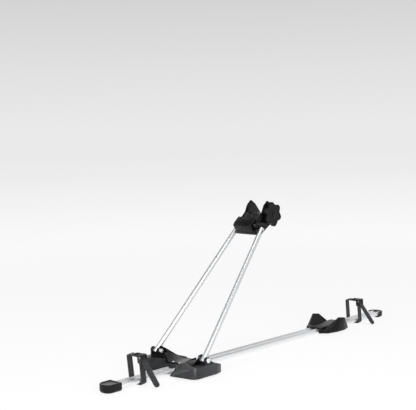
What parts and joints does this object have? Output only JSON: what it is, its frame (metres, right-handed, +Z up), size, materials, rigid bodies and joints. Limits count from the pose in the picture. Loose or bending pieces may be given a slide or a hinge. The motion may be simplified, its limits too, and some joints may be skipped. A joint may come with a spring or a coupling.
{
  "type": "upright roof rack bike carrier",
  "caption": "Upright bike carrier: an aluminium rail with a pivoting A-frame arm, a knob-tightened down tube clamp, a rear wheel tray and wheel straps with buckles.",
  "frame": {"origin": "under the middle of the rail, on the surface that it rests on", "axes": "+X along the rail towards the rear wheel, +Y across the rail away from the knob, +Z up"},
  "size_m": [1.388, 0.2462, 0.4946],
  "materials": {
    "extruded_aluminium": "satin",
    "tube_aluminium": "satin",
    "cap_plastic": "gloss",
    "housing_plastic": "satin",
    "gloss_black_plastic": "gloss",
    "knob_plastic": "satin",
    "buckle_plastic": "satin",
    "strap_rubber": "satin",
    "pad_rubber": "matte",
    "nylon": "matte",
    "plate_steel": "brushed",
    "zinc_steel": "zinc plated",
    "galvanised_steel": "galvanised",
    "lock_metal": "black chromed"
  },
  "bodies": {
    "base": {"rail": "extruded_aluminium", "front_end_cap": "cap_plastic", "rear_end_cap": "cap_plastic", "end_cap_screws": "zinc_steel", "base_housing": "housing_plastic", "base_cover": "gloss_black_plastic", "base_cover_screws": "zinc_steel", "cross_plate": "plate_steel", "base_pads": "pad_rubber", "base_screws": "zinc_steel", "arm_foot_bolts": "galvanised_steel", "arm_foot_nuts": "galvanised_steel", "arm_foot_washers": "nylon"},
    "arms": {"left_arm": "tube_aluminium", "right_arm": "tube_aluminium", "arm_foot_plugs": "nylon", "arm_top_plugs": "nylon", "arm_foot_sleeves": "plate_steel", "clamp_cross_pin": "plate_steel", "arm_top_washers": "nylon"},
    "head": {"clamp_body": "gloss_black_plastic", "jaw_hinge_pin": "plate_steel", "body_pad": "pad_rubber", "far_pad": "pad_rubber", "spindle_nut": "zinc_steel"},
    "jaw": {"near_jaw": "gloss_black_plastic", "near_pad": "pad_rubber"},
    "thrust": {"thrust_washer": "zinc_steel"},
    "knob": {"star_knob": "knob_plastic", "clamp_spindle": "plate_steel"},
    "lock": {"lock_cylinder": "lock_metal"},
    "tray": {"rear_tray": "housing_plastic", "tray_plate": "plate_steel", "tray_screws": "zinc_steel"},
    "front_wheel_strap": {"front_strap": "strap_rubber", "front_buckle": "buckle_plastic", "front_buckle_pin": "plate_steel"},
    "front_lever": {"front_buckle_lever": "buckle_plastic"},
    "rear_wheel_strap": {"rear_strap": "strap_rubber", "rear_buckle": "buckle_plastic", "rear_buckle_pin": "plate_steel"},
    "rear_lever": {"rear_buckle_lever": "buckle_plastic"}
  },
  "joints": [
    {"name": "arm_fold", "type": "hinge", "parent": "base", "child": "arms", "pos_m": [-0.387, 0, 0.053], "axis": [0, 1, 0], "range_deg": [-35, 32]},
    {"name": "head_tilt", "type": "hinge", "parent": "arms", "child": "head", "pos_m": [-0.063, 0, 0.399], "axis": [0, 1, 0], "range_deg": [-40, 15]},
    {"name": "jaw_open", "type": "hinge", "parent": "head", "child": "jaw", "pos_m": [-0.06293, -0.035, 0.41263], "axis": [0.6342, 0, -0.7732], "range_deg": [0, 10]},
    {"name": "washer_slide", "type": "slide", "parent": "head", "child": "thrust", "axis": [0, -1, 0], "range_m": [0, 0.016]},
    {"name": "knob_turn", "type": "hinge", "parent": "thrust", "child": "knob", "pos_m": [0.00408, -0.045, 0.45078], "axis": [0, -1, 0], "range_deg": [0, 1440]},
    {"name": "lock_turn", "type": "hinge", "parent": "knob", "child": "lock", "pos_m": [0.00408, -0.054, 0.45078], "axis": [0, -1, 0], "range_deg": [0, 90]},
    {"name": "tray_slide", "type": "slide", "parent": "base", "child": "tray", "axis": [1, 0, 0], "range_m": [-0.06, 0.07]},
    {"name": "front_strap_slide", "type": "slide", "parent": "base", "child": "front_wheel_strap", "axis": [1, 0, 0], "range_m": [-0.04, 0.04]},
    {"name": "front_lever_turn", "type": "hinge", "parent": "front_wheel_strap", "child": "front_lever", "pos_m": [-0.56604, -0.0335, 0.08603], "axis": [0.9945, 0, 0.1045], "range_deg": [0, 110]},
    {"name": "rear_strap_slide", "type": "slide", "parent": "base", "child": "rear_wheel_strap", "axis": [1, 0, 0], "range_m": [-0.01, 0.05]},
    {"name": "rear_lever_turn", "type": "hinge", "parent": "rear_wheel_strap", "child": "rear_lever", "pos_m": [0.52146, -0.0335, 0.08617], "axis": [0.9962, 0, 0.0872], "range_deg": [0, 110]}
  ],
  "couplings": [
    {"joint": "washer_slide", "follows": "knob_turn", "m_per_rad": 0.00063662},
    {"joint": "jaw_open", "follows": "knob_turn", "ratio": 0.0069444}
  ]
}
